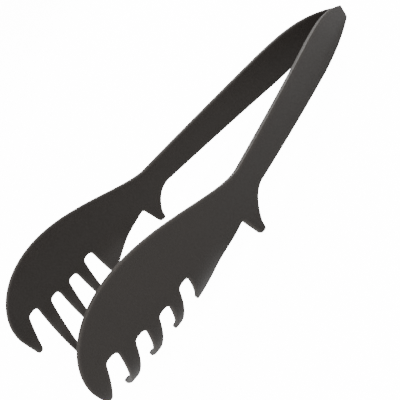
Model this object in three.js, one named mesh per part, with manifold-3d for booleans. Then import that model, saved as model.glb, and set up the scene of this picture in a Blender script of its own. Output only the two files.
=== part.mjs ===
// Sprung kitchen tongs for pasta and salad, moulded in one piece: a U-bend that is the spring,
// and on each side of it a flat handle that widens into a dished head with five prongs.
//
// The tongs are drawn as a flat strip and then bent to shape, as a developed pattern is.
//   s  runs along the strip from the middle of the U-bend (0) to the end of a head
//   w  runs across the strip, + towards the plain back edge, - towards the prongs
//   h  runs through the thickness, 0 in the middle, + outwards
// Bent, +X runs from the U-bend to the heads, the left arm is on +Y and the back edge is up.
// The nodes are the stretches between the places where the moulding flexes.
// Millimetres and degrees.

import * as THREE from 'three';
import { mergeVertices } from 'three/addons/utils/BufferGeometryUtils.js';
import Module from 'manifold-3d';

const wasm = await Module();
wasm.setup();

// ---- plan view: the line that the middle of the strip follows -------------------------------
const bowRadius = 6.5;          // middle of the wall round the U-bend
const bowHeading = 17.5;        // angle between handle and centre plane where the bend ends
const neckHeading = 12;         // the same where the handle ends
const headHeading = -4;         // and where the head begins
const tipHeading = -9;          // and at the end of the head
const handleLength = 166;       // end of the bend to the end of the handle
const neckLength = 80;          // stretch over which the handle turns into the head
const headLength = 60;          // stretch beyond the neck, past the end of the prongs

const radians = THREE.MathUtils.degToRad;
const bowLength = bowRadius * radians(90 - bowHeading);
const handleEnd = bowLength + handleLength;     // the head's places count from here

// ---- wall -----------------------------------------------------------------------------------
const bowWall = 3.0;
const handleWall = 3.6;
const headWall = 2.6;
const handleWallStart = 45;     // s where the wall has grown to the handle's
const handleWallEnd = handleEnd - 24.2;  // s where it begins to thin
const headWallStart = handleEnd + 40.8;  // s where it has thinned to the head's

// ---- strip edges along the bend and the handle ----------------------------------------------
const bowBack = 5.5;            // back edge in the middle of the bend
const bowFront = -1.5;          // front edge in the middle of the bend
const bowEdgeRound = 3;         // how gently both edges leave the middle of the bend
const gripBack = 17.1;          // back edge where the grip is widest
const gripFront = -5.8;         // front edge where the grip is widest
const gripWidest = 64;          // s of the widest place
const neckBack = 14.6;          // back edge at the narrow end of the handle
const neckBackAt = handleEnd - 2.2;
const neckFront = -1.6;         // front edge at the narrow end of the handle
const neckFrontAt = handleEnd - 9.2;
const restAt = 26;              // s of the place on the front edge that rests on the table

// ---- rim hook: the spur and the notch in front of it -----------------------------------------
const spurTipAt = handleEnd + 9.8;       // s of the spur's tip
const spurDepth = 19.5;         // w of the tip, below the middle line
const spurTipWidth = 4.5;
const spurTipRadius = 1.9;
const notchAt = handleEnd + 15.8;        // s of the notch's deepest place
const notchFront = -4.2;
const notchRadius = 2.2;
const cheekAt = handleEnd + 35.8;        // s of the corner between the notch and the first prong
const cheekFront = -8;
const cheekRadius = 60;

// ---- head and prongs ------------------------------------------------------------------------
const headBack = 34.6;          // back edge where the head is widest
const headBackAt = handleEnd + 78.8;
const headEnd = handleEnd + 124.3;       // s of the end of the head
// middle of each slot between two prongs
const slotAt = [61.1, 76.6, 91.6, 107].map((distance) => handleEnd + distance);
const slotRoot = [3.4, 2.2, 3.7, 7.6];            // w of each slot's closed end
const prongTip = [-18, -25, -28, -30.5, -11];     // w of each prong's tip, from the notch on
const slotRootWidth = 6.8;
const slotMouthWidth = 11.8;
const slotRootRadius = 3.1;
const prongTipRadius = 1.8;
const endProngRadius = 4;       // rounding of the last prong's outer corner
const prongLean = [4, 6, 8.5, 11, 7];             // how far each prong leans forward at its tip

// ---- dish of the head and curl of the prongs -------------------------------------------------
const dishEdge = 14;            // w below which the head is dished
const dishRadius = 120;
const curlEdge = 5;             // w below which the prongs curl in more tightly
const curlRadius = 37;
const dishStart = handleEnd + 11.8;      // s where the dish begins
const dishFull = handleEnd + 41.8;       // s where it has its full depth

// ---- flexing stretches ------------------------------------------------------------------------
const leafEnd = 40;             // s where the springy stretch ends and the stiff handle begins
const flexGap = 0.3;            // clearance between neighbouring nodes

// ---- fineness of the bent surfaces ------------------------------------------------------------
const outlineStep = 5;          // longest side of the outline that is bent
const slabReach = 20;           // how far the trimming slab reaches on both sides of the wall
const slabLayers = 9;           // an odd number, so that the wall lies inside one layer

const neckEnd = handleEnd + neckLength;
const stripEnd = neckEnd + headLength;

const stretches = [
  { length: bowLength, from: 90, to: bowHeading },
  { length: handleLength, from: bowHeading, to: neckHeading },
  { length: neckLength, from: neckHeading, to: headHeading },
  { length: headLength, from: headHeading, to: tipHeading },
];

/** Middle line in plan at s: the place and the heading, each stretch being an arc. */
function middleLine(s) {
  let x = 0;
  let y = 0;
  let heading = Math.PI / 2;
  let left = s;
  for (const { length, from, to } of stretches) {
    const a = radians(from);
    const bend = (radians(to) - a) / length;
    const run = Math.min(left, length);
    heading = a + bend * run;
    x += (Math.sin(heading) - Math.sin(a)) / bend;
    y -= (Math.cos(heading) - Math.cos(a)) / bend;
    left -= run;
    if (left <= 0) break;
  }
  return { x, y, heading };
}

/** Section across the strip at w: how far it lies inwards, its height and its slope. */
function crossSection(w, depth) {
  let inward = 0;
  let height = w;
  let slope = 0;
  const arcs = [
    { top: dishEdge, bottom: curlEdge, bend: 1 / dishRadius },
    { top: curlEdge, bottom: -Infinity, bend: 1 / dishRadius + 1 / curlRadius },
  ];
  for (const { top, bottom, bend } of arcs) {
    const run = top - Math.max(w, bottom);
    if (run <= 0) break;
    const k = bend * Math.max(depth, 1e-6);
    const next = slope + k * run;
    inward += (Math.cos(slope) - Math.cos(next)) / k;
    height += run - (Math.sin(next) - Math.sin(slope)) / k;
    slope = next;
  }
  return { inward, height, slope };
}

/** Place of the flat point (s, h, w) on the left arm once the strip is bent. */
function bentPoint(s, h, w) {
  const { x, y, heading } = middleLine(s);
  const depth = THREE.MathUtils.smoothstep(s, dishStart, dishFull);
  const { inward, height, slope } = crossSection(w, depth);
  const out = h * Math.cos(slope) - inward;
  return new THREE.Vector3(
    x - out * Math.sin(heading),
    y + out * Math.cos(heading),
    height - h * Math.sin(slope),
  );
}

/** Bends a flat geometry, whose x, y, z are s, h, w. Points with s < 0 are on the right arm. */
function bendGeometry(geometry) {
  const place = geometry.attributes.position;
  for (let i = 0; i < place.count; i += 1) {
    const side = place.getX(i) < 0 ? -1 : 1;
    const bent = bentPoint(Math.abs(place.getX(i)), place.getY(i), place.getZ(i));
    place.setXYZ(i, bent.x, side * bent.y, bent.z);
  }
  return geometry;
}

/** Interpolates smoothly between [s, value] stations. */
function along(stations, s) {
  const last = stations.length - 1;
  const next = stations.findIndex(([at]) => s <= at);
  if (next === 0) return stations[0][1];
  if (next < 0) return stations[last][1];
  const [s0, v0] = stations[next - 1];
  const [s1, v1] = stations[next];
  return THREE.MathUtils.lerp(v0, v1, THREE.MathUtils.smoothstep(s, s0, s1));
}

const wallStations = [
  [bowLength, bowWall],
  [handleWallStart, handleWall],
  [handleWallEnd, handleWall],
  [headWallStart, headWall],
];

/** 0 in the middle of the U-bend, rising to 1 at the widest place of the grip. */
function gripRise(s) {
  const from = Math.hypot(s, bowEdgeRound) - bowEdgeRound;
  const to = Math.hypot(gripWidest, bowEdgeRound) - bowEdgeRound;
  return 1 - (1 - Math.min(from / to, 1)) ** 3;
}

function backEdge(s) {
  if (s <= gripWidest) return THREE.MathUtils.lerp(bowBack, gripBack, gripRise(s));
  return THREE.MathUtils.mapLinear(s, gripWidest, neckBackAt, gripBack, neckBack);
}

function frontEdge(s) {
  if (s <= gripWidest) return THREE.MathUtils.lerp(bowFront, gripFront, gripRise(s));
  return THREE.MathUtils.mapLinear(s, gripWidest, neckFrontAt, gripFront, neckFront);
}

/** Evenly spaced stations from a to b, at most step apart. */
function stations(a, b, step) {
  const count = Math.max(1, Math.ceil((b - a) / step));
  return Array.from({ length: count + 1 }, (_, i) => a + ((b - a) * i) / count);
}

/** Joins runs of stations end to end, dropping the repeated ends. */
function chain(...runs) {
  return runs.flatMap((run, i) => (i === 0 ? run : run.slice(1)));
}

/**
 * Flat plate as a subdivided box. sList holds its stations along the strip, and edges(s) gives
 * its stations across the strip. Its wall is the strip's at every station.
 */
function flatPlate(sList, edges) {
  const across = edges(sList[0]).length - 1;
  const box = new THREE.BoxGeometry(1, 1, 1, sList.length - 1, 1, across);
  const place = box.attributes.position;
  for (let i = 0; i < place.count; i += 1) {
    const s = sList[Math.round((place.getX(i) + 0.5) * (sList.length - 1))];
    const w = edges(s)[Math.round((place.getZ(i) + 0.5) * across)];
    const wall = along(wallStations, Math.abs(s));
    place.setXYZ(i, s, place.getY(i) * wall, w);
  }
  return box;
}

/** Keeps only positions and joins equal corners, so that the geometry is one closed body. */
function closed(geometry) {
  const bare = geometry.clone();
  bare.deleteAttribute('normal');
  bare.deleteAttribute('uv');
  return mergeVertices(bare, 1e-4);
}

function toSolid(geometry) {
  const body = closed(geometry);
  return new wasm.Manifold(new wasm.Mesh({
    numProp: 3,
    vertProperties: new Float32Array(body.attributes.position.array),
    triVerts: new Uint32Array(body.index.array),
  }));
}

function toGeometry(solid) {
  const { vertProperties, triVerts } = solid.getMesh();
  const geometry = new THREE.BufferGeometry();
  geometry.setAttribute('position', new THREE.BufferAttribute(vertProperties, 3));
  geometry.setIndex(new THREE.BufferAttribute(triVerts, 1));
  geometry.computeVertexNormals();
  return geometry;
}

/** The other hand of a closed geometry, mirrored in the centre plane. */
function mirrored(geometry) {
  const copy = geometry.clone();
  copy.applyMatrix4(new THREE.Matrix4().makeScale(1, -1, 1));
  const index = copy.index.array;
  for (let i = 0; i < index.length; i += 3) {
    [index[i], index[i + 1]] = [index[i + 1], index[i]];
  }
  copy.computeVertexNormals();
  return copy;
}

/** Goes round corners given as [s, w, radius], each corner rounded by its radius. */
function roundedThrough(shape, corners, start, end) {
  const list = [start, ...corners, end];
  for (let i = 1; i < list.length - 1; i += 1) {
    const corner = new THREE.Vector2(list[i][0], list[i][1]);
    const before = new THREE.Vector2(list[i - 1][0], list[i - 1][1]).sub(corner);
    const after = new THREE.Vector2(list[i + 1][0], list[i + 1][1]).sub(corner);
    const half = before.angleTo(after) / 2;
    const room = 0.49 * Math.min(before.length(), after.length());
    const reach = Math.min(list[i][2] / Math.tan(half), room);
    const into = before.setLength(reach).add(corner);
    const from = after.setLength(reach).add(corner);
    shape.lineTo(into.x, into.y);
    shape.quadraticCurveTo(corner.x, corner.y, from.x, from.y);
  }
  shape.lineTo(end[0], end[1]);
}

/** Corners of the prongs, from the notch to the end of the head. */
function prongCorners() {
  const corners = [[notchAt, notchFront, notchRadius], [cheekAt, cheekFront, cheekRadius]];
  slotAt.forEach((middle, i) => {
    const root = slotRootWidth / 2;
    const mouth = slotMouthWidth / 2;
    corners.push([middle - mouth + prongLean[i], prongTip[i], prongTipRadius]);
    corners.push([middle - root, slotRoot[i], slotRootRadius]);
    corners.push([middle + root, slotRoot[i], slotRootRadius]);
    corners.push([middle + mouth + prongLean[i + 1], prongTip[i + 1], prongTipRadius]);
  });
  return corners;
}

/** Flat outline of one arm, from the end of the springy stretch to the end of the head. */
function armOutline(start) {
  const shape = new THREE.Shape();
  shape.moveTo(start, frontEdge(start));
  for (const s of stations(start, gripWidest, 7).slice(1)) shape.lineTo(s, frontEdge(s));
  shape.lineTo(neckFrontAt, neckFront);
  const spurBack = spurTipAt - spurTipWidth / 2;
  const spurFront = spurTipAt + spurTipWidth / 2;
  const heel = [spurBack - 1, -spurDepth + 5];
  shape.bezierCurveTo(neckFrontAt + 8, neckFront - 1, spurBack - 4, -spurDepth + 11, ...heel);
  const endOfProngs = [headEnd - 0.5, -1];
  roundedThrough(shape, [
    [spurBack, -spurDepth, spurTipRadius],
    [spurFront, -spurDepth + 1, spurTipRadius],
    ...prongCorners(),
    [headEnd - 1, prongTip[4], endProngRadius],
  ], heel, endOfProngs);
  shape.bezierCurveTo(headEnd + 1, 16, headBackAt + 30, headBack, headBackAt, headBack);
  shape.bezierCurveTo(headBackAt - 31, headBack, neckBackAt + 18, neckBack, neckBackAt, neckBack);
  for (const s of stations(start, gripWidest, 7).reverse()) shape.lineTo(s, backEdge(s));
  shape.closePath();
  return shape;
}

/** The outline with no side longer than step, so that it can be bent. */
function finelyDivided(shape, step) {
  const corners = shape.getPoints(7);
  return new THREE.Shape(corners.flatMap((corner, i) => {
    const next = corners[(i + 1) % corners.length];
    const count = Math.max(1, Math.ceil(corner.distanceTo(next) / step));
    return Array.from({ length: count }, (_, k) => corner.clone().lerp(next, k / count));
  }));
}

/** The outline as a thick slab, ready to be bent: it trims the plate to the outline. */
function trimSlab(start) {
  const slab = new THREE.ExtrudeGeometry(finelyDivided(armOutline(start), outlineStep), {
    depth: 2 * slabReach, bevelEnabled: false, steps: slabLayers,
  });
  slab.translate(0, 0, -slabReach);
  return slab.rotateX(Math.PI / 2);
}

function material(colour, roughness) {
  return new THREE.MeshStandardMaterial({ color: colour, roughness, metalness: 0 });
}

const nylon = material('#3a3734', 0.55);

function named(name, geometry) {
  const mesh = new THREE.Mesh(geometry, nylon);
  mesh.name = name;
  return mesh;
}

/** The U-bend. */
function springBow() {
  const half = bowLength - flexGap / 2;
  return closed(bendGeometry(flatPlate(stations(-half, half, 1.2), (s) => stations(
    frontEdge(Math.abs(s)), backEdge(Math.abs(s)), 40))));
}

/** The springy stretch between the U-bend and the stiff handle. */
function springLeaf() {
  const sList = stations(bowLength + flexGap / 2, leafEnd - flexGap / 2, 5);
  return closed(bendGeometry(flatPlate(sList, (s) => stations(frontEdge(s), backEdge(s), 40))));
}

/** The stiff handle with its rim hook and the dished head. */
function arm() {
  const start = leafEnd + flexGap / 2;
  const sList = chain(
    stations(start, dishStart, 18), stations(dishStart, dishFull, 5), stations(dishFull, stripEnd, 8));
  const wList = chain(
    stations(-38, curlEdge, 3.5), stations(curlEdge, dishEdge, 4.5), stations(dishEdge, 40, 13));
  const plate = toSolid(bendGeometry(flatPlate(sList, () => wList)));
  const slab = toSolid(bendGeometry(trimSlab(start)));
  return toGeometry(plate.intersect(slab));
}

/** Stands the tongs on the root of each handle and on each spur, the box's middle at the origin. */
function stand(group) {
  const spur = bentPoint(spurTipAt, 0, -spurDepth);
  const root = bentPoint(restAt, 0, frontEdge(restAt));
  group.rotation.y = -Math.atan2(root.z - spur.z, spur.x - root.x);
  const box = new THREE.Box3().setFromObject(group, true);
  const centre = box.getCenter(new THREE.Vector3());
  group.position.set(-centre.x, -centre.y, -box.min.z);
}

const tongs = new THREE.Group();
const leftLeaf = springLeaf();
const leftArm = arm();
tongs.add(named('spring_bow', springBow()));
tongs.add(named('left_spring_leaf', leftLeaf));
tongs.add(named('right_spring_leaf', mirrored(leftLeaf)));
tongs.add(named('left_arm', leftArm));
tongs.add(named('right_arm', mirrored(leftArm)));
stand(tongs);

export default tongs;
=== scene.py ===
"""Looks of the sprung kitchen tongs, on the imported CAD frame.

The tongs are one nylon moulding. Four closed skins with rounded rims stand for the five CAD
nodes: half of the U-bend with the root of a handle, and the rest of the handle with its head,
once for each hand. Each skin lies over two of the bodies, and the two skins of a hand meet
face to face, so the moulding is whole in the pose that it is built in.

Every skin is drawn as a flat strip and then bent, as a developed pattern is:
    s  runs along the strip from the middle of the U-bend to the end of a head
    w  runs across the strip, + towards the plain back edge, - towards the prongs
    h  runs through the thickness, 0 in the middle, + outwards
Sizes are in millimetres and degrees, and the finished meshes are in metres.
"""

import logging
import math
from abc import ABC, abstractmethod
from dataclasses import dataclass, field
from enum import Enum

import bmesh
import bpy
import numpy as np
from mathutils import Matrix, Vector
from mathutils.geometry import delaunay_2d_cdt

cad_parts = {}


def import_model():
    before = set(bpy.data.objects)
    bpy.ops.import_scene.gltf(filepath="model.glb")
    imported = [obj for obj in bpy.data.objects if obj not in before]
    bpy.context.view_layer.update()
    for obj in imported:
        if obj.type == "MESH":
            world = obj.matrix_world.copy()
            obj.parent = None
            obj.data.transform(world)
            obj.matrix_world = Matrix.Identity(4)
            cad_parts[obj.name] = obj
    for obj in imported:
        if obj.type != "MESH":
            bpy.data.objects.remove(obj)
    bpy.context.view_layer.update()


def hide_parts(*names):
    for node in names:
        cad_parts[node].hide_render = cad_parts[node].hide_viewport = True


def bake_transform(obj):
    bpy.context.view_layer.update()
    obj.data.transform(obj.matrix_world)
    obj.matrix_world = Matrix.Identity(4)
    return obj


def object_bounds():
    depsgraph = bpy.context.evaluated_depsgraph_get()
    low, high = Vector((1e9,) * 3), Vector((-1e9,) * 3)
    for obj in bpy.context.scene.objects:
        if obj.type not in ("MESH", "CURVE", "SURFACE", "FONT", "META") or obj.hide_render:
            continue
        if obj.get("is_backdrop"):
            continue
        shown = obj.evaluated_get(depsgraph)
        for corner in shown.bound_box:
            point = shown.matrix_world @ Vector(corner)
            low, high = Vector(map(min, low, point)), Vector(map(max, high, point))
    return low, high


LOG = logging.getLogger("tongs")
MM = 0.001
SHARP_ANGLE = 50.0


class Hand(Enum):
    """The side of the centre plane that an arm lies on."""

    LEFT = 1
    RIGHT = -1

    @property
    def word(self) -> str:
        """The name that bodies, nodes and pieces begin with."""
        return self.name.lower()


class Trait(Enum):
    """What every point of a skin knows about itself, for the material to read."""

    ALONG = "along"
    THROUGH = "through"
    ACROSS = "across"
    RIM = "rim"


# ---------------------------------------------------------------------------------------------
# The flat strip and how it is bent
# ---------------------------------------------------------------------------------------------


def smoothstep(value: np.ndarray, start: float, end: float) -> np.ndarray:
    """0 below start, 1 above end, and 3t^2 - 2t^3 in between."""
    t = np.clip((value - start) / (end - start), 0.0, 1.0)
    return t * t * (3.0 - 2.0 * t)


@dataclass(frozen=True)
class PlanLine:
    """The line in plan that the middle of the strip follows, as four arcs."""

    bow_radius: float = 6.5
    bow_heading: float = 17.5
    neck_heading: float = 12.0
    head_heading: float = -4.0
    tip_heading: float = -9.0
    handle_length: float = 166.0
    neck_length: float = 80.0
    head_length: float = 60.0

    @property
    def bow_length(self) -> float:
        """Length of the strip from the middle of the U-bend to its end."""
        return self.bow_radius * math.radians(90.0 - self.bow_heading)

    def arcs(self) -> tuple[tuple[float, float, float], ...]:
        """Length and the headings at both ends of each arc, from the U-bend on."""
        return (
            (self.bow_length, 90.0, self.bow_heading),
            (self.handle_length, self.bow_heading, self.neck_heading),
            (self.neck_length, self.neck_heading, self.head_heading),
            (self.head_length, self.head_heading, self.tip_heading),
        )

    def at(self, s: np.ndarray) -> tuple[np.ndarray, np.ndarray, np.ndarray]:
        """Place and heading on the line.

        Each arc adds the chord of the part of it that lies below s: with headings a and b and
        bend k, that is (sin b - sin a) / k along X and (cos a - cos b) / k along Y.

        Args:
            s: distances along the strip.

        Returns:
            x, y and heading in radians at each distance.
        """
        x = np.zeros_like(s)
        y = np.zeros_like(s)
        heading = np.full_like(s, math.pi / 2.0)
        begun = 0.0
        for length, start, end in self.arcs():
            a = math.radians(start)
            bend = (math.radians(end) - a) / length
            last = begun + length >= sum(arc[0] for arc in self.arcs()) - 1e-9
            run = np.clip(s - begun, 0.0, None if last else length)
            b = a + bend * run
            x += (np.sin(b) - math.sin(a)) / bend
            y -= (np.cos(b) - math.cos(a)) / bend
            heading = np.where(s > begun, b, heading)
            begun += length
        return x, y, heading


@dataclass(frozen=True)
class Dish:
    """The section across a head: a shallow dish above and tightly curled prongs below."""

    edge: float = 14.0
    radius: float = 120.0
    curl_edge: float = 5.0
    curl_radius: float = 37.0
    start: float = 186.0
    full: float = 216.0

    def at(self, s: np.ndarray, w: np.ndarray) -> tuple[np.ndarray, np.ndarray, np.ndarray]:
        """How far the section lies inwards, its height and its slope.

        Going down the section, each of the two arcs turns it by bend x run x depth, where depth
        rises smoothly along the strip from 0 before the dish to 1 where it is full.

        Args:
            s: distances along the strip.
            w: distances across the strip.

        Returns:
            Inward distance, height and slope in radians at each point.
        """
        depth = np.maximum(smoothstep(s, self.start, self.full), 1e-6)
        upper = 1.0 / self.radius
        arcs = (
            (np.clip(self.edge - w, 0.0, self.edge - self.curl_edge), upper),
            (np.clip(self.curl_edge - w, 0.0, None), upper + 1.0 / self.curl_radius),
        )
        inward = np.zeros_like(w)
        height = w.copy()
        slope = np.zeros_like(w)
        for run, bend in arcs:
            k = bend * depth
            after = slope + k * run
            inward = inward + (np.cos(slope) - np.cos(after)) / k
            height = height + run - (np.sin(after) - np.sin(slope)) / k
            slope = after
        return inward, height, slope


@dataclass(frozen=True)
class Wall:
    """The wall thickness along the strip."""

    bow: float = 3.0
    handle: float = 3.6
    head: float = 2.6
    handle_start: float = 45.0
    handle_end: float = 150.0
    head_start: float = 215.0

    def at(self, s: np.ndarray, bow_length: float) -> np.ndarray:
        """Grows smoothly from the bend to the handle and shrinks smoothly to the head."""
        grown = smoothstep(s, bow_length, self.handle_start)
        thinned = smoothstep(s, self.handle_end, self.head_start)
        return self.bow + (self.handle - self.bow) * grown + (self.head - self.handle) * thinned


@dataclass(frozen=True)
class GripEdges:
    """The two edges of the strip along the U-bend and the handle."""

    bow_back: float = 5.5
    bow_front: float = -1.5
    bow_round: float = 3.0
    back: float = 17.1
    front: float = -5.8
    widest: float = 64.0
    neck_back: float = 14.6
    neck_back_at: float = 172.0
    neck_front: float = -1.6
    neck_front_at: float = 165.0
    rest_at: float = 26.0

    def _rise(self, s: np.ndarray) -> np.ndarray:
        """1 - (1 - t)^3, t being the way to the widest place, which leaves the bend gently."""
        start = np.hypot(s, self.bow_round) - self.bow_round
        whole = math.hypot(self.widest, self.bow_round) - self.bow_round
        return 1.0 - (1.0 - np.minimum(start / whole, 1.0)) ** 3

    def back_at(self, s: np.ndarray) -> np.ndarray:
        """The back edge: it widens to the grip, then narrows in a straight line to the neck."""
        taper = np.clip((s - self.widest) / (self.neck_back_at - self.widest), 0.0, None)
        wide = self.bow_back + (self.back - self.bow_back) * self._rise(s)
        return wide + (self.neck_back - self.back) * taper

    def front_at(self, s: np.ndarray) -> np.ndarray:
        """The front edge, made in the same way."""
        taper = np.clip((s - self.widest) / (self.neck_front_at - self.widest), 0.0, None)
        wide = self.bow_front + (self.front - self.bow_front) * self._rise(s)
        return wide + (self.neck_front - self.front) * taper


@dataclass(frozen=True)
class Hook:
    """The spur, the notch in front of it, and the edge from there to the first prong.

    The back of the spur is a cubic curve. Its pulls are the steps (s, w) from the neck and from
    the back corner of the tip to its two middle points, and the join is the step to its end.
    """

    spur_tip: float = 184.0
    spur_depth: float = 19.5
    spur_width: float = 4.5
    spur_lift: float = 1.0
    spur_round: float = 1.9
    neck_pull: tuple[float, float] = (8.0, -1.0)
    spur_pull: tuple[float, float] = (-4.0, 11.0)
    spur_join: tuple[float, float] = (-1.0, 5.0)
    notch: float = 190.0
    notch_front: float = -4.2
    notch_round: float = 2.2
    cheek: float = 210.0
    cheek_front: float = -8.0
    cheek_round: float = 60.0


@dataclass(frozen=True)
class Head:
    """The outline of a head: four slots between five prongs, and the round back edge.

    Two cubic curves make the back edge, from the nose to its highest place and on to the neck.
    The pulls say how far their middle points lie along the strip from the nearer end.
    """

    back: float = 34.6
    back_at: float = 253.0
    end: float = 298.5
    nose: tuple[float, float] = (-0.5, -1.0)
    nose_pull: tuple[float, float] = (1.0, 16.0)
    crown_pull: tuple[float, float] = (30.0, -31.0)
    neck_pull: float = 18.0
    end_lean: float = 1.0
    slot_at: tuple[float, ...] = (235.3, 250.8, 265.8, 281.2)
    slot_root: tuple[float, ...] = (3.4, 2.2, 3.7, 7.6)
    prong_tip: tuple[float, ...] = (-18.0, -25.0, -28.0, -30.5, -11.0)
    prong_lean: tuple[float, ...] = (4.0, 6.0, 8.5, 11.0, 7.0)
    root_width: float = 6.8
    mouth_width: float = 11.8
    root_round: float = 3.1
    tip_round: float = 1.8
    end_round: float = 4.0

    def corners(self) -> list[tuple[float, float, float]]:
        """Corners (s, w, rounding) of the slots and prongs, from the first prong's tip on."""
        root = self.root_width / 2.0
        mouth = self.mouth_width / 2.0
        found: list[tuple[float, float, float]] = []
        for i, (middle, top) in enumerate(zip(self.slot_at, self.slot_root)):
            before, after = self.prong_lean[i], self.prong_lean[i + 1]
            found += [
                (middle - mouth + before, self.prong_tip[i], self.tip_round),
                (middle - root, top, self.root_round),
                (middle + root, top, self.root_round),
                (middle + mouth + after, self.prong_tip[i + 1], self.tip_round),
            ]
        return found


@dataclass(frozen=True)
class Strip:
    """The whole moulding as a bent strip: what the skins are cut from."""

    plan: PlanLine = field(default_factory=PlanLine)
    dish: Dish = field(default_factory=Dish)
    wall: Wall = field(default_factory=Wall)
    grip: GripEdges = field(default_factory=GripEdges)
    hook: Hook = field(default_factory=Hook)
    head: Head = field(default_factory=Head)

    def bent(self, flat: np.ndarray, hand: Hand) -> np.ndarray:
        """Bends flat points to their places on one hand's side.

        The section moves a point inwards and tilts its thickness direction by the slope, and the
        plan line then turns the point to the strip's heading. The right hand is the mirror image.

        Args:
            flat: N x 3 points (s, h, w).
            hand: the side of the centre plane.

        Returns:
            N x 3 points with the handles level, in millimetres.
        """
        s, h, w = flat.T
        x, y, heading = self.plan.at(s)
        inward, height, slope = self.dish.at(s, w)
        out = h * np.cos(slope) - inward
        return np.column_stack((
            x - out * np.sin(heading),
            hand.value * (y + out * np.cos(heading)),
            height - h * np.sin(slope),
        ))

    def tilt(self) -> float:
        """The angle that stands the tongs on the handles' roots and the spurs, in radians."""
        rest = self.grip.rest_at
        ends = np.array([
            [self.hook.spur_tip, 0.0, -self.hook.spur_depth],
            [rest, 0.0, float(self.grip.front_at(np.array(rest)))],
        ])
        spur, root = self.bent(ends, Hand.LEFT)
        return math.atan2(root[2] - spur[2], spur[0] - root[0])


# ---------------------------------------------------------------------------------------------
# Outlines
# ---------------------------------------------------------------------------------------------


class Outline:
    """An open outline in the flat, made of straight and curved runs."""

    def __init__(self, start: tuple[float, float], step: float) -> None:
        """Starts at a point; step is the longest side that the outline will have."""
        self._parts = [np.array([start])]
        self._step = step

    @property
    def _end(self) -> np.ndarray:
        """The point that the outline has come to."""
        return self._parts[-1][-1]

    def follow(self, points: np.ndarray) -> None:
        """Goes through ready-made points."""
        self._parts.append(points)

    def go(self, *corners: tuple[float, float]) -> None:
        """Adds the Bernstein polynomial of the end and some corners, at evenly spaced steps.

        Args:
            corners: one for a straight run, two for a quadratic curve, three for a cubic one.
        """
        ctrl = np.vstack((self._end, np.array(corners)))
        length = float(np.linalg.norm(np.diff(ctrl, axis=0), axis=1).sum())
        count = max(2, math.ceil(length / self._step))
        t = np.linspace(0.0, 1.0, count + 1)[1:, None]
        order = len(ctrl) - 1
        weights = [
            math.comb(order, i) * t**i * (1.0 - t) ** (order - i) for i in range(order + 1)]
        self._parts.append(sum(weight * corner for weight, corner in zip(weights, ctrl)))

    def round_through(
        self, corners: list[tuple[float, float, float]], end: tuple[float, float]
    ) -> None:
        """Goes round corners, each rounded by its radius, and on to the end.

        A corner is cut radius / tan(half its angle) before and after it, at most half of either
        side, and a quadratic curve with the corner as its middle point joins the two cuts.

        Args:
            corners: (s, w, rounding) of each corner.
            end: where the last side ends.
        """
        places = [self._end, *(np.array(corner[:2]) for corner in corners), np.array(end)]
        for before, place, after, corner in zip(places, places[1:], places[2:], corners):
            back, ahead = before - place, after - place
            lengths = np.linalg.norm(back), np.linalg.norm(ahead)
            cosine = float(back @ ahead / (lengths[0] * lengths[1]))
            half = math.acos(max(-1.0, min(1.0, cosine))) / 2.0
            reach = min(corner[2] / math.tan(half), 0.49 * min(lengths))
            self.go(tuple(place + back / lengths[0] * reach))
            self.go(tuple(place), tuple(place + ahead / lengths[1] * reach))
        self.go(end)

    def points(self) -> np.ndarray:
        """All points of the outline, without repeats, as N x 2."""
        found = np.vstack(self._parts)
        keep = np.r_[True, np.linalg.norm(np.diff(found, axis=0), axis=1) > 1e-4]
        return found[keep]


@dataclass(frozen=True)
class Rim:
    """The rounded rim that runs along every edge of the moulding."""

    radius: float = 0.85
    rings: int = 5
    # How far in from the edges the rim trait reaches, which is the width of the painted
    # highlight.
    rim_highlight: float = 2.6

    def profile(self) -> tuple[np.ndarray, np.ndarray]:
        """Inset and drop of each ring: radius x (1 - cos) and radius x (1 - sin) of its angle."""
        angle = np.linspace(0.0, math.pi / 2.0, self.rings)
        return self.radius * (1.0 - np.cos(angle)), self.radius * (1.0 - np.sin(angle))


# ---------------------------------------------------------------------------------------------
# Skins
# ---------------------------------------------------------------------------------------------


@dataclass(frozen=True)
class Flat:
    """A flat region with its mesh, ready to be given thickness.

    The ends are the distances along the strip where it meets another skin.
    """

    points: np.ndarray
    drop: np.ndarray
    faces: np.ndarray
    loop: np.ndarray
    ends: tuple[float, ...]


def inset_directions(line: np.ndarray) -> np.ndarray:
    """Unit normals to the left of an open line, with its two ends turned square to the strip.

    Each inner point takes the mean of its two sides' normals, lengthened by one over the cosine
    of half the turn, so that sides stay parallel when the points are moved.

    Args:
        line: N x 2 points with the region on the left.

    Returns:
        N x 2 directions.
    """
    side = np.diff(line, axis=0)
    side /= np.linalg.norm(side, axis=1)[:, None]
    normal = np.column_stack((-side[:, 1], side[:, 0]))
    mean = np.vstack((normal[:1], normal[:-1] + normal[1:], normal[-1:]))
    mean /= np.linalg.norm(mean, axis=1)[:, None]
    cosine = np.clip((mean[1:-1] * normal[1:]).sum(axis=1), 0.6, 1.0)
    mean[1:-1] /= cosine[:, None]
    mean[0] = (0.0, 1.0)
    mean[-1] = (0.0, -1.0)
    return mean


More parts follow.
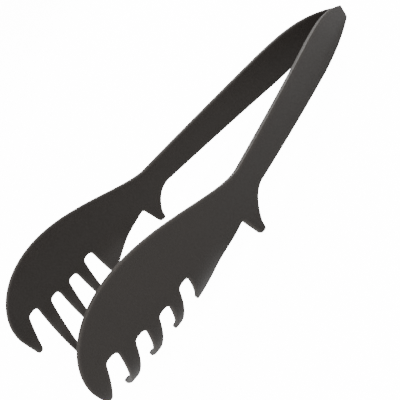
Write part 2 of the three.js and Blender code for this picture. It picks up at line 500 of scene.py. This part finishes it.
class Skin(ABC):
    """One closed skin of the moulding."""

    def __init__(self, strip: Strip, rim: Rim) -> None:
        """Keeps the strip that the skin is cut from and the rim that it gets."""
        self._strip = strip
        self._rim = rim

    @abstractmethod
    def flat(self) -> Flat:
        """The flat region that the skin is made from."""

    def thick(self, flat: Flat) -> tuple[np.ndarray, np.ndarray, np.ndarray]:
        """Gives a flat region its thickness.

        The region is set half a wall above and half a wall below, both less the drop near its
        rim, and a band of quads joins the two along the whole boundary.

        Args:
            flat: the region.

        Returns:
            N x 3 points (s, h, w), triangles and quads.
        """
        s, w = flat.points.T
        half = self._strip.wall.at(s, self._strip.plan.bow_length) / 2.0 - flat.drop
        upper = np.column_stack((s, half, w))
        lower = np.column_stack((s, -half, w))
        count = len(s)
        triangles = np.vstack((flat.faces, flat.faces[:, ::-1] + count))
        here, there = flat.loop, np.roll(flat.loop, -1)
        quads = np.column_stack((there, here, here + count, there + count))
        return np.vstack((upper, lower)), triangles, quads

    def build(self, name: str, flat: Flat, hand: Hand, place: Matrix) -> bpy.types.Object:
        """Makes the skin's object.

        Args:
            name: the piece's name.
            flat: its flat region.
            hand: the side that it lies on.
            place: from the level handles to the frame, in millimetres.

        Returns:
            The object, at the origin, with its mesh in metres.
        """
        points, triangles, quads = self.thick(flat)
        bent = self._strip.bent(points, hand)
        matrix = np.array(place)
        final = (bent @ matrix[:3, :3].T + matrix[:3, 3]) * MM
        if hand is Hand.LEFT:
            triangles, quads = triangles[:, ::-1], quads[:, ::-1]
        mesh = bpy.data.meshes.new(name)
        mesh.from_pydata(final.tolist(), [], triangles.tolist() + quads.tolist())
        # The rim trait: 1 at the edges, falling to 0 further in, which masks the painted rim
        # highlight.
        near = np.tile(1.0 - smoothstep(self._rim_distance(flat), 0.0, self._rim.rim_highlight), 2)
        s, h, w = points.T * MM
        traits = {Trait.ALONG: s, Trait.THROUGH: h, Trait.ACROSS: w, Trait.RIM: near}
        for trait, values in traits.items():
            layer = mesh.attributes.new(trait.value, "FLOAT", "POINT")
            layer.data.foreach_set("value", values.astype(np.float32))
        mesh.shade_smooth()
        mesh.set_sharp_from_angle(angle=math.radians(SHARP_ANGLE))
        mesh.validate()
        made = bpy.data.objects.new(name, mesh)
        bpy.context.scene.collection.objects.link(made)
        LOG.info("%s: %d faces", name, len(mesh.polygons))
        return made

    def _rim_distance(self, flat: Flat) -> np.ndarray:
        """Distance of each flat point from the outline, but not from the ends that meet."""
        along = flat.points[flat.loop, 0]
        meets = (np.abs(along[:, None] - np.array(flat.ends)) < 1e-3).any(axis=1)
        outline = flat.loop[~meets]
        gap = flat.points[:, None, :] - flat.points[outline][None, :, :]
        return np.sqrt((gap**2).sum(axis=2).min(axis=1))


@dataclass(frozen=True)
class BendSizes:
    """Sizes of the skin over half of the U-bend and the root of a handle."""

    end: float = 24.0
    step: float = 0.6
    columns: int = 14


class BendSkin(Skin):
    """Half of the U-bend with the root of one handle."""

    sizes = BendSizes()

    def flat(self) -> Flat:
        """A grid with rows along the strip and columns across it.

        The outer columns are the rings of the rim along both edges, and the others are evenly
        spaced between them. The rows are evenly spaced from the middle of the bend.

        Returns:
            The flat region.
        """
        inset, drop = self._rim.profile()
        rows = int(math.ceil(self.sizes.end / self.sizes.step)) + 1
        s = np.linspace(0.0, self.sizes.end, rows)[:, None]
        front = self._strip.grip.front_at(s)
        back = self._strip.grip.back_at(s)
        middle = np.linspace(0.0, 1.0, self.sizes.columns + 1)[None, 1:-1]
        low, high = front + self._rim.radius, back - self._rim.radius
        w = np.hstack((front + inset, low + (high - low) * middle, back - inset[::-1]))
        columns = w.shape[1]
        drops = np.hstack((drop, np.zeros(middle.size), drop[::-1]))
        points = np.column_stack((np.repeat(s.ravel(), columns), w.ravel()))
        index = np.arange(rows * columns).reshape(rows, columns)
        a, b = index[:-1, :-1].ravel(), index[1:, :-1].ravel()
        c, d = index[1:, 1:].ravel(), index[:-1, 1:].ravel()
        faces = np.vstack((np.column_stack((a, b, c)), np.column_stack((a, c, d))))
        loop = np.concatenate((
            index[:, 0], index[-1, 1:], index[-2::-1, -1], index[0, -2:0:-1]))
        return Flat(points, np.tile(drops, rows), faces, loop, (0.0, self.sizes.end))


@dataclass(frozen=True)
class ArmSizes:
    """Sizes of the skin over the rest of a handle and its head."""

    start: float = 24.0
    outline_step: float = 0.9
    handle_step: float = 2.2
    head_step: float = 1.25
    head_start: float = 176.0


class ArmSkin(Skin):
    """The rest of one handle, its rim hook and its head."""

    sizes = ArmSizes()

    def _outline(self) -> np.ndarray:
        """The open outline, from the front edge round the head to the back edge."""
        grip, hook, head = self._strip.grip, self._strip.hook, self._strip.head
        start, step = self.sizes.start, self.sizes.outline_step
        first = np.arange(start, grip.widest, step)
        line = Outline((start, float(grip.front_at(np.array(start)))), step)
        line.follow(np.column_stack((first, grip.front_at(first))))
        line.go((grip.neck_front_at, grip.neck_front))
        neck = np.array((grip.neck_front_at, grip.neck_front))
        behind = np.array((hook.spur_tip - hook.spur_width / 2.0, -hook.spur_depth))
        ahead = (hook.spur_tip + hook.spur_width / 2.0, hook.spur_lift - hook.spur_depth)
        line.go(neck + hook.neck_pull, behind + hook.spur_pull, behind + hook.spur_join)
        line.round_through([
            (*behind, hook.spur_round),
            (*ahead, hook.spur_round),
            (hook.notch, hook.notch_front, hook.notch_round),
            (hook.cheek, hook.cheek_front, hook.cheek_round),
            *head.corners(),
            (head.end - head.end_lean, head.prong_tip[-1], head.end_round),
        ], (head.end + head.nose[0], head.nose[1]))
        line.go(
            (head.end + head.nose_pull[0], head.nose_pull[1]),
            (head.back_at + head.crown_pull[0], head.back),
            (head.back_at, head.back))
        line.go(
            (head.back_at + head.crown_pull[1], head.back),
            (grip.neck_back_at + head.neck_pull, grip.neck_back),
            (grip.neck_back_at, grip.neck_back))
        last = np.append(np.arange(grip.neck_back_at, start, -step)[1:], start)
        line.follow(np.column_stack((last, grip.back_at(last))))
        return line.points()

    def _inner_points(self, ring: np.ndarray) -> np.ndarray:
        """Staggered grid points inside the innermost ring, finer in the head.

        A point counts as inside when a ray along the strip from it crosses the ring an odd number
        of times, and it keeps away from the ring by 0.6 of the grid's step.

        Args:
            ring: N x 2 closed ring.

        Returns:
            M x 2 points.
        """
        kept = []
        size = self.sizes
        low, high = ring.min(axis=0), ring.max(axis=0)
        for begin, end, step in (
            (low[0], size.head_start, size.handle_step),
            (size.head_start, high[0], size.head_step),
        ):
            s, w = np.meshgrid(np.arange(begin, end, step), np.arange(low[1], high[1], step))
            s = s + (np.arange(len(s))[:, None] % 2) * step / 2.0
            grid = np.column_stack((s.ravel(), w.ravel()))
            a, b = ring, np.roll(ring, -1, axis=0)
            above = (a[None, :, 1] > grid[:, None, 1]) != (b[None, :, 1] > grid[:, None, 1])
            rise = np.where(np.abs(b[:, 1] - a[:, 1]) < 1e-9, 1e-9, b[:, 1] - a[:, 1])
            cross = a[:, 0] + (grid[:, None, 1] - a[:, 1]) * (b[:, 0] - a[:, 0]) / rise
            inside = (above & (cross > grid[:, None, 0])).sum(axis=1) % 2 == 1
            away = ((grid[:, None, :] - ring[None]) ** 2).sum(axis=2).min(axis=1)
            kept.append(grid[inside & (away > (0.6 * step) ** 2)])
        return np.vstack(kept)

    def flat(self) -> Flat:
        """Rings along the outline, with Delaunay triangles inside the innermost one.

        Returns:
            The flat region.
        """
        line = self._outline()
        inset, drop = self._rim.profile()
        towards = inset_directions(line)
        rings = [line + towards * each for each in inset]
        count = len(line)
        low, high = rings[-1][0], rings[-1][-1]
        steps = int(math.ceil((high[1] - low[1]) / self.sizes.handle_step))
        end_w = np.linspace(high[1], low[1], steps + 1)[1:-1]
        end_line = np.column_stack((np.full(steps - 1, self.sizes.start), end_w))
        ring = np.vstack((rings[-1], end_line))
        inner = self._inner_points(ring)
        given = np.vstack((ring, inner))
        boundary = list(range(len(ring)))
        made = delaunay_2d_cdt(
            [Vector(point) for point in given.tolist()], [], [boundary], 1, 1e-6)
        if len(made[0]) != len(given):
            raise ValueError(f"the rim folds over itself: {len(made[0])} of {len(given)}")
        faces = np.array([list(face) for face in made[2]]) + count * (len(rings) - 1)
        bands = []
        for k in range(len(rings) - 1):
            a = np.arange(count - 1) + k * count
            b = a + count
            bands.append(np.column_stack((a, a + 1, b + 1)))
            bands.append(np.column_stack((a, b + 1, b)))
        points = np.vstack((*rings[:-1], given))
        drops = np.concatenate((
            np.repeat(drop[:-1], count), np.full(len(given), drop[-1])))
        heads = np.arange(len(rings)) * count
        after = heads[-1] + count
        loop = np.concatenate((
            np.arange(count),
            heads[1:] + count - 1,
            np.arange(after, after + steps - 1),
            heads[:0:-1],
        ))
        return Flat(points, drops, np.vstack((*bands, faces)), loop, (self.sizes.start,))


# ---------------------------------------------------------------------------------------------
# Materials
# ---------------------------------------------------------------------------------------------


@dataclass(frozen=True)
class NylonFinish:
    """Black nylon with a fine satin mould texture and a painted highlight along its rims.

    Scales are in waves for each metre, and heights, widths and places are in metres.
    """

    colour: tuple[float, float, float] = (0.0235, 0.0200, 0.0178)
    # Painted highlight: the lighter colour that the rims are painted with.
    highlight_colour: tuple[float, float, float] = (0.075, 0.067, 0.060)
    roughness: float = 0.50
    roughness_spread: float = 0.10
    specular: float = 0.22
    bump_strength: float = 0.8
    grain_scale: float = 1500.0
    grain_height: float = 0.00006
    flow_height: float = 0.0004
    flow_stretch: tuple[float, float, float] = (12.0, 34.0, 34.0)
    cloud_scale: float = 38.0
    cloud_strength: float = 0.16
    # Noise that breaks up the painted rim highlight, and how much of the highlight is mixed in.
    highlight_break_scale: float = 620.0
    highlight_amount: float = 0.7
    highlight_break_contrast: float = 0.9
    highlight_break_least: float = 0.25
    parting_width: float = 0.00022
    parting_height: float = 0.00010
    pin_along: float = 0.030
    pin_across: float = 0.008
    pin_radius: float = 0.0022
    pin_line: float = 0.00035
    pin_depth: float = 0.00016


class Graph:
    """Adds nodes to a node tree."""

    def __init__(self, tree: bpy.types.NodeTree) -> None:
        """Keeps the tree."""
        self.tree = tree

    def node(self, kind: str, **settings: object) -> bpy.types.Node:
        """Adds a node and sets its properties."""
        made = self.tree.nodes.new(kind)
        for key, value in settings.items():
            setattr(made, key, value)
        return made

    def link(self, source: bpy.types.NodeSocket, target: bpy.types.NodeSocket) -> None:
        """Joins two sockets."""
        self.tree.links.new(source, target)

    def maths(
        self, operation: str, *values: bpy.types.NodeSocket | float, clamp: bool = False
    ) -> bpy.types.NodeSocket:
        """Adds a maths node.

        Args:
            operation: what it does.
            values: its inputs, each a socket or a number.
            clamp: whether its result is kept between 0 and 1.

        Returns:
            Its result.
        """
        made = self.node("ShaderNodeMath", operation=operation, use_clamp=clamp)
        for socket, value in zip(made.inputs, values):
            if isinstance(value, bpy.types.NodeSocket):
                self.link(value, socket)
            else:
                socket.default_value = value
        return made.outputs[0]

    def noise(
        self,
        place: bpy.types.NodeSocket,
        scale: bpy.types.NodeSocket | float,
        detail: float,
    ) -> bpy.types.NodeSocket:
        """Adds noise.

        Args:
            place: where it is read.
            scale: waves for each metre.
            detail: how many finer layers it has.

        Returns:
            Its value.
        """
        made = self.node("ShaderNodeTexNoise")
        made.inputs["Detail"].default_value = detail
        self.link(place, made.inputs["Vector"])
        if isinstance(scale, bpy.types.NodeSocket):
            self.link(scale, made.inputs["Scale"])
        else:
            made.inputs["Scale"].default_value = scale
        return made.outputs["Fac"]

    def trait(self, which: Trait) -> bpy.types.NodeSocket:
        """Adds the node that reads one of the skins' traits, and returns its value."""
        return self.node("ShaderNodeAttribute", attribute_name=which.value).outputs["Fac"]

    def place(self) -> bpy.types.NodeSocket:
        """Adds the node that gives the place on the object, and returns the place."""
        return self.node("ShaderNodeTexCoord").outputs["Object"]


class NodeGroup(Graph):
    """A shader node group of float sockets."""

    def __init__(self, name: str, takes: dict[str, float], gives: tuple[str, ...]) -> None:
        """Makes the group.

        Args:
            name: the group's name.
            takes: value of each input.
            gives: the outputs.
        """
        super().__init__(bpy.data.node_groups.new(name, "ShaderNodeTree"))
        self.values = takes
        for label, value in takes.items():
            self._socket(label, "INPUT").default_value = value
        for label in gives:
            self._socket(label, "OUTPUT")
        self.takes = self.node("NodeGroupInput").outputs
        self.gives = self.node("NodeGroupOutput").inputs

    def _socket(self, label: str, way: str) -> bpy.types.NodeTreeInterfaceSocket:
        """Adds a float socket to the group's outside."""
        return self.tree.interface.new_socket(
            name=label, in_out=way, socket_type="NodeSocketFloat")

    def used_in(self, graph: Graph) -> bpy.types.Node:
        """Adds the group's node to another tree, with the group's values on its inputs."""
        made = graph.node("ShaderNodeGroup", node_tree=self.tree)
        for label, value in self.values.items():
            made.inputs[label].default_value = value
        return made


def grain_group(finish: NylonFinish) -> NodeGroup:
    """Fine mould grain with soft flow marks.

    The height is fine noise x Grain Height, plus slow noise drawn out along the strip x Flow
    Height, so that the sheen breaks up as it does on a moulding.

    Args:
        finish: where the values come from.

    Returns:
        A group from Scale, Grain Height and Flow Height to Height.
    """
    group = NodeGroup(
        "mould_grain",
        {
            "Scale": finish.grain_scale,
            "Grain Height": finish.grain_height,
            "Flow Height": finish.flow_height,
        },
        ("Height",),
    )
    place = group.place()
    fine = group.noise(place, group.takes["Scale"], 2.0)
    fine.node.inputs["Roughness"].default_value = 0.6
    stretch = group.node("ShaderNodeVectorMath", operation="MULTIPLY")
    stretch.inputs[1].default_value = finish.flow_stretch
    group.link(place, stretch.inputs[0])
    slow = group.noise(stretch.outputs[0], 1.0, 1.0)
    grain = group.maths("MULTIPLY", fine, group.takes["Grain Height"])
    flow = group.maths("MULTIPLY", slow, group.takes["Flow Height"])
    group.link(group.maths("ADD", grain, flow), group.gives["Height"])
    return group


def rim_highlight_group(finish: NylonFinish) -> NodeGroup:
    """Painted highlight along the rims, and faint clouds.

    The painted rim highlight is the rim trait to the third power, broken up by noise. Cloud is
    slow noise brought to the range from -1 to 1.

    Args:
        finish: where the values come from.

    Returns:
        A group from the cloud and highlight noise scales to the painted rim highlight and Cloud.
    """
    group = NodeGroup(
        "rim_highlight_and_clouds",
        {"Cloud Scale": finish.cloud_scale, "Breakup Scale": finish.highlight_break_scale},
        ("Rim Highlight", "Cloud"),
    )
    place = group.place()
    # Painted highlight mask: the rim trait cubed, broken up by noise.
    breakup = group.noise(place, group.takes["Breakup Scale"], 4.0)
    edge = group.maths("POWER", group.trait(Trait.RIM), 3.0)
    broken = group.maths("MULTIPLY_ADD", breakup, finish.highlight_break_contrast, finish.highlight_break_least)
    group.link(group.maths("MULTIPLY", edge, broken), group.gives["Rim Highlight"])
    cloud = group.noise(place, group.takes["Cloud Scale"], 3.0)
    group.link(group.maths("MULTIPLY_ADD", cloud, 2.0, -1.0), group.gives["Cloud"])
    return group


def parting_group(finish: NylonFinish) -> NodeGroup:
    """The fine line that the two halves of the mould leave in the middle of every edge.

    The height is Height x (1 - distance from the middle of the wall / Width), at least 0.

    Args:
        finish: where the values come from.

    Returns:
        A group from Width and Peak to Height.
    """
    group = NodeGroup(
        "parting_line",
        {"Width": finish.parting_width, "Peak": finish.parting_height},
        ("Height",),
    )
    away = group.maths("ABSOLUTE", group.trait(Trait.THROUGH))
    part = group.maths("DIVIDE", away, group.takes["Width"])
    left = group.maths("MAXIMUM", group.maths("SUBTRACT", 1.0, part), 0.0)
    group.link(group.maths("MULTIPLY", left, group.takes["Peak"]), group.gives["Height"])
    return group


def pin_mark_group(finish: NylonFinish) -> NodeGroup:
    """The shallow ring that an ejector pin leaves on the inner face of a handle.

    The height is -Depth x (1 - distance from the ring / Line), at most 0, on the inner face.

    Args:
        finish: where the values come from.

    Returns:
        A group from Along, Across, Radius, Line and Depth to Height.
    """
    group = NodeGroup(
        "pin_mark",
        {
            "Along": finish.pin_along,
            "Across": finish.pin_across,
            "Radius": finish.pin_radius,
            "Line": finish.pin_line,
            "Depth": finish.pin_depth,
        },
        ("Height",),
    )
    takes, maths = group.takes, group.maths
    a = maths("SUBTRACT", group.trait(Trait.ALONG), takes["Along"])
    b = maths("SUBTRACT", group.trait(Trait.ACROSS), takes["Across"])
    squares = maths("ADD", maths("MULTIPLY", a, a), maths("MULTIPLY", b, b))
    away = maths("ABSOLUTE", maths("SUBTRACT", maths("SQRT", squares), takes["Radius"]))
    ring = maths("MAXIMUM", maths("SUBTRACT", 1.0, maths("DIVIDE", away, takes["Line"])), 0.0)
    inner = maths("LESS_THAN", group.trait(Trait.THROUGH), 0.0)
    sunk = maths("MULTIPLY", maths("MULTIPLY", ring, inner), maths(
        "MULTIPLY", takes["Depth"], -1.0))
    group.link(sunk, group.gives["Height"])
    return group


class NylonMaterial:
    """Builds the nylon material from its finish."""

    def __init__(self, finish: NylonFinish) -> None:
        """Keeps the finish."""
        self._finish = finish

    def _colour(self, graph: Graph, rim_highlight: bpy.types.Node) -> bpy.types.NodeSocket:
        """The nylon's colour with a painted highlight on the rims, lighter and darker by clouds.
        """
        finish = self._finish
        # Painted highlight: the rims are mixed towards a lighter colour.
        highlighted = graph.node("ShaderNodeMix", data_type="RGBA")
        highlighted.inputs["A"].default_value = (*finish.colour, 1.0)
        highlighted.inputs["B"].default_value = (*finish.highlight_colour, 1.0)
        amount = graph.maths(
            "MULTIPLY", rim_highlight.outputs["Rim Highlight"], finish.highlight_amount, clamp=True)
        graph.link(amount, highlighted.inputs["Factor"])
        tint = graph.node("ShaderNodeVectorMath", operation="SCALE")
        graph.link(highlighted.outputs["Result"], tint.inputs[0])
        cloud = graph.maths("MULTIPLY_ADD", rim_highlight.outputs["Cloud"], finish.cloud_strength, 1.0)
        graph.link(cloud, tint.inputs["Scale"])
        return tint.outputs[0]

    def _relief(self, graph: Graph) -> bpy.types.NodeSocket:
        """The sum of the grain, the parting line and the pin mark."""
        finish = self._finish
        grain, *marks = (
            group.used_in(graph).outputs["Height"]
            for group in (grain_group(finish), parting_group(finish), pin_mark_group(finish)))
        total = grain
        for mark in marks:
            total = graph.maths("ADD", total, mark)
        return total

    def build(self, name: str) -> bpy.types.Material:
        """Makes the material.

        The painted rim highlight and the clouds drive the base colour, and the clouds drive the
        roughness. The bump is the sum of the grain, the parting line and the pin mark.

        Args:
            name: the material's name.

        Returns:
            The material.
        """
        finish = self._finish
        made = bpy.data.materials.new(name)
        made.use_nodes = True
        graph = Graph(made.node_tree)
        shader = made.node_tree.nodes["Principled BSDF"]
        shader.inputs["Specular IOR Level"].default_value = finish.specular
        # The painted rim highlight and the clouds.
        rim_highlight = rim_highlight_group(finish).used_in(graph)
        graph.link(self._colour(graph, rim_highlight), shader.inputs["Base Color"])
        rough = graph.maths(
            "MULTIPLY_ADD", rim_highlight.outputs["Cloud"], finish.roughness_spread, finish.roughness)
        graph.link(rough, shader.inputs["Roughness"])
        bump = graph.node("ShaderNodeBump")
        bump.inputs["Strength"].default_value = finish.bump_strength
        bump.inputs["Distance"].default_value = 1.0
        graph.link(self._relief(graph), bump.inputs["Height"])
        graph.link(bump.outputs["Normal"], shader.inputs["Normal"])
        return made


# ---------------------------------------------------------------------------------------------
# The moulding
# ---------------------------------------------------------------------------------------------


@dataclass(frozen=True)
class BlendSpan:
    """A stretch of the strip, from its start to its end along it."""

    start: float
    end: float


class Moulding:
    """The whole pair of tongs, dressed on the frame."""

    bend_span = BlendSpan(4.0, 23.0)
    arm_span = BlendSpan(25.0, 56.0)

    def __init__(self, strip: Strip, rim: Rim, nylon: bpy.types.Material) -> None:
        """Keeps what every skin shares."""
        self._strip = strip
        self._nylon = nylon
        self._bend = BendSkin(strip, rim)
        self._arm = ArmSkin(strip, rim)
        self._arm_flat = self._arm.flat()
        self._bend_flat = self._bend.flat()
        self.place = self._placing()

    def _placing(self) -> Matrix:
        """From the level handles to the frame: tilted, centred and set down as the CAD is.

        Returns:
            The matrix, in millimetres.
        """
        turn = Matrix.Rotation(-self._strip.tilt(), 4, "Y")
        low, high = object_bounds()
        points = np.vstack([
            self._strip.bent(self._bend.thick(self._bend_flat)[0], Hand.LEFT),
            self._strip.bent(self._arm.thick(self._arm_flat)[0], Hand.LEFT),
        ])
        turned = points @ np.array(turn)[:3, :3].T
        x = (low.x + high.x) / 2.0 / MM - (turned[:, 0].min() + turned[:, 0].max()) / 2.0
        z = low.z / MM - turned[:, 2].min()
        return Matrix.Translation((x, 0.0, z)) @ turn

    def _at(self, s: float, hand: Hand) -> tuple[float, float, float]:
        """The place of the middle of the strip in the frame, in metres."""
        place = self._strip.bent(np.array([[s, 0.0, 0.0]]), hand)[0]
        return tuple((self.place @ Vector(place)) * MM)

    def _heading_span(self, span: BlendSpan, hand: Hand) -> tuple[Vector, Vector]:
        """Two points on a line square to the section at the span's end.

        Args:
            span: the stretch.
            hand: the side.

        Returns:
            Start and end in the frame, in metres.
        """
        end = Vector(self._at(span.end, hand))
        way = end - Vector(self._at(span.end - 1.0, hand))
        start = Vector(self._at(span.start, hand))
        way.normalize()
        return end - way * (end - start).dot(way), end

    def dress(self, hand: Hand) -> None:
        """Builds both skins of one hand, gives them the nylon and hides the CAD bodies that they
        cover.
        """
        side = hand.word
        bend = self._bend.build(f"{side}_bend_skin", self._bend_flat, hand, self.place)
        arm = self._arm.build(f"{side}_arm_skin", self._arm_flat, hand, self.place)
        for piece in (bend, arm):
            piece.data.materials.append(self._nylon)
        start, end = self._heading_span(self.bend_span, hand)
        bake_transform(bend)
        start, end = self._heading_span(self.arm_span, hand)
        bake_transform(arm)
        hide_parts("spring_bow", f"{side}_spring_leaf")
        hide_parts(f"{side}_spring_leaf", f"{side}_arm")


# ---------------------------------------------------------------------------------------------
# Camera, light and floor
# ---------------------------------------------------------------------------------------------


@dataclass(frozen=True)
class CameraSizes:
    """The view: a place and directions with the handles level, in millimetres."""

    place: tuple[float, float, float] = (294.8, 287.0, 143.9)
    right: tuple[float, float, float] = (-0.5823, 0.5625, -0.5870)
    down: tuple[float, float, float] = (0.7265, 0.0360, -0.6862)
    ahead: tuple[float, float, float] = (-0.3649, -0.8260, -0.4296)
    sensor: float = 36.0
    lens: float = 54.0


@dataclass(frozen=True)
class Lamp:
    """A soft area light."""

    name: str
    place: tuple[float, float, float]
    size: float
    power: float


@dataclass(frozen=True)
class Paper:
    """The plain floor, which also glows for the camera alone so that it looks white."""

    reach: float = 6.0
    colour: tuple[float, float, float, float] = (0.90, 0.90, 0.90, 1.0)
    roughness: float = 0.9
    glow_colour: tuple[float, float, float, float] = (1.0, 1.0, 1.0, 1.0)
    glow: float = 14.0


@dataclass(frozen=True)
class Surround:
    """The even light from all round."""

    colour: tuple[float, float, float, float] = (0.95, 0.95, 0.95, 1.0)
    strength: float = 0.55


class Studio:
    """Camera, floor and lights."""

    camera = CameraSizes()
    lamps = (
        Lamp("key", (0.25, 0.75, 0.95), 0.9, 11.0),
        Lamp("fill", (0.95, 0.35, 0.45), 1.0, 4.0),
        Lamp("back", (-0.75, -0.55, 0.80), 0.8, 12.0),
    )
    aim = (0.0, 0.0, 0.03)
    paper = Paper()
    surround = Surround()

    def __init__(self, place: Matrix) -> None:
        """Keeps the way from the level handles to the frame."""
        self._place = place

    def set_camera(self) -> None:
        """Makes the scene's camera from its directions."""
        size = self.camera
        turn = self._place.to_3x3()
        axes = Matrix((
            turn @ Vector(size.right), turn @ -Vector(size.down), turn @ -Vector(size.ahead)))
        data = bpy.data.cameras.new("view")
        data.sensor_width = size.sensor
        data.lens = size.lens
        data.clip_start = 0.01
        data.clip_end = 20.0
        data.dof.use_dof = False
        made = bpy.data.objects.new("view", data)
        made.rotation_mode = "QUATERNION"
        made.rotation_quaternion = axes.transposed().to_quaternion()
        made.location = (self._place @ Vector(size.place)) * MM
        bpy.context.scene.collection.objects.link(made)
        bpy.context.scene.camera = made

    def set_floor(self) -> None:
        """Makes a plain pale floor that isn't part of the object."""
        grid = bmesh.new()
        bmesh.ops.create_grid(grid, x_segments=1, y_segments=1, size=self.paper.reach)
        mesh = bpy.data.meshes.new("floor")
        grid.to_mesh(mesh)
        grid.free()
        made = bpy.data.objects.new("floor", mesh)
        paper = bpy.data.materials.new("paper")
        paper.use_nodes = True
        shader = paper.node_tree.nodes["Principled BSDF"]
        shader.inputs["Base Color"].default_value = self.paper.colour
        shader.inputs["Roughness"].default_value = self.paper.roughness
        shader.inputs["Emission Color"].default_value = self.paper.glow_colour
        graph = Graph(paper.node_tree)
        seen = graph.node("ShaderNodeLightPath").outputs["Is Camera Ray"]
        glow = graph.maths("MULTIPLY", seen, self.paper.glow)
        graph.link(glow, shader.inputs["Emission Strength"])
        mesh.materials.append(paper)
        bpy.context.scene.collection.objects.link(made)
        made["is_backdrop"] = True

    def set_lights(self) -> None:
        """Makes the area lights, each aimed at the middle of the tongs, and the pale surround."""
        aim = Vector(self.aim)
        for lamp in self.lamps:
            data = bpy.data.lights.new(lamp.name, "AREA")
            data.shape = "DISK"
            data.size = lamp.size
            data.energy = lamp.power
            made = bpy.data.objects.new(lamp.name, data)
            made.location = lamp.place
            made.rotation_mode = "QUATERNION"
            made.rotation_quaternion = (aim - Vector(lamp.place)).to_track_quat("-Z", "Y")
            bpy.context.scene.collection.objects.link(made)
        world = bpy.data.worlds.new("surround")
        world.use_nodes = True
        shader = world.node_tree.nodes["Background"]
        shader.inputs["Color"].default_value = self.surround.colour
        shader.inputs["Strength"].default_value = self.surround.strength
        bpy.context.scene.world = world


def main() -> None:
    """Builds the tongs and their surroundings on the frame."""
    logging.basicConfig(level=logging.INFO, format="%(name)s %(message)s")
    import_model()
    strip = Strip()
    nylon = NylonMaterial(NylonFinish()).build("nylon")
    moulding = Moulding(strip, Rim(), nylon)
    for hand in Hand:
        moulding.dress(hand)
    studio = Studio(moulding.place)
    studio.set_floor()
    studio.set_lights()
    studio.set_camera()


if __name__ == "__main__":
    main()
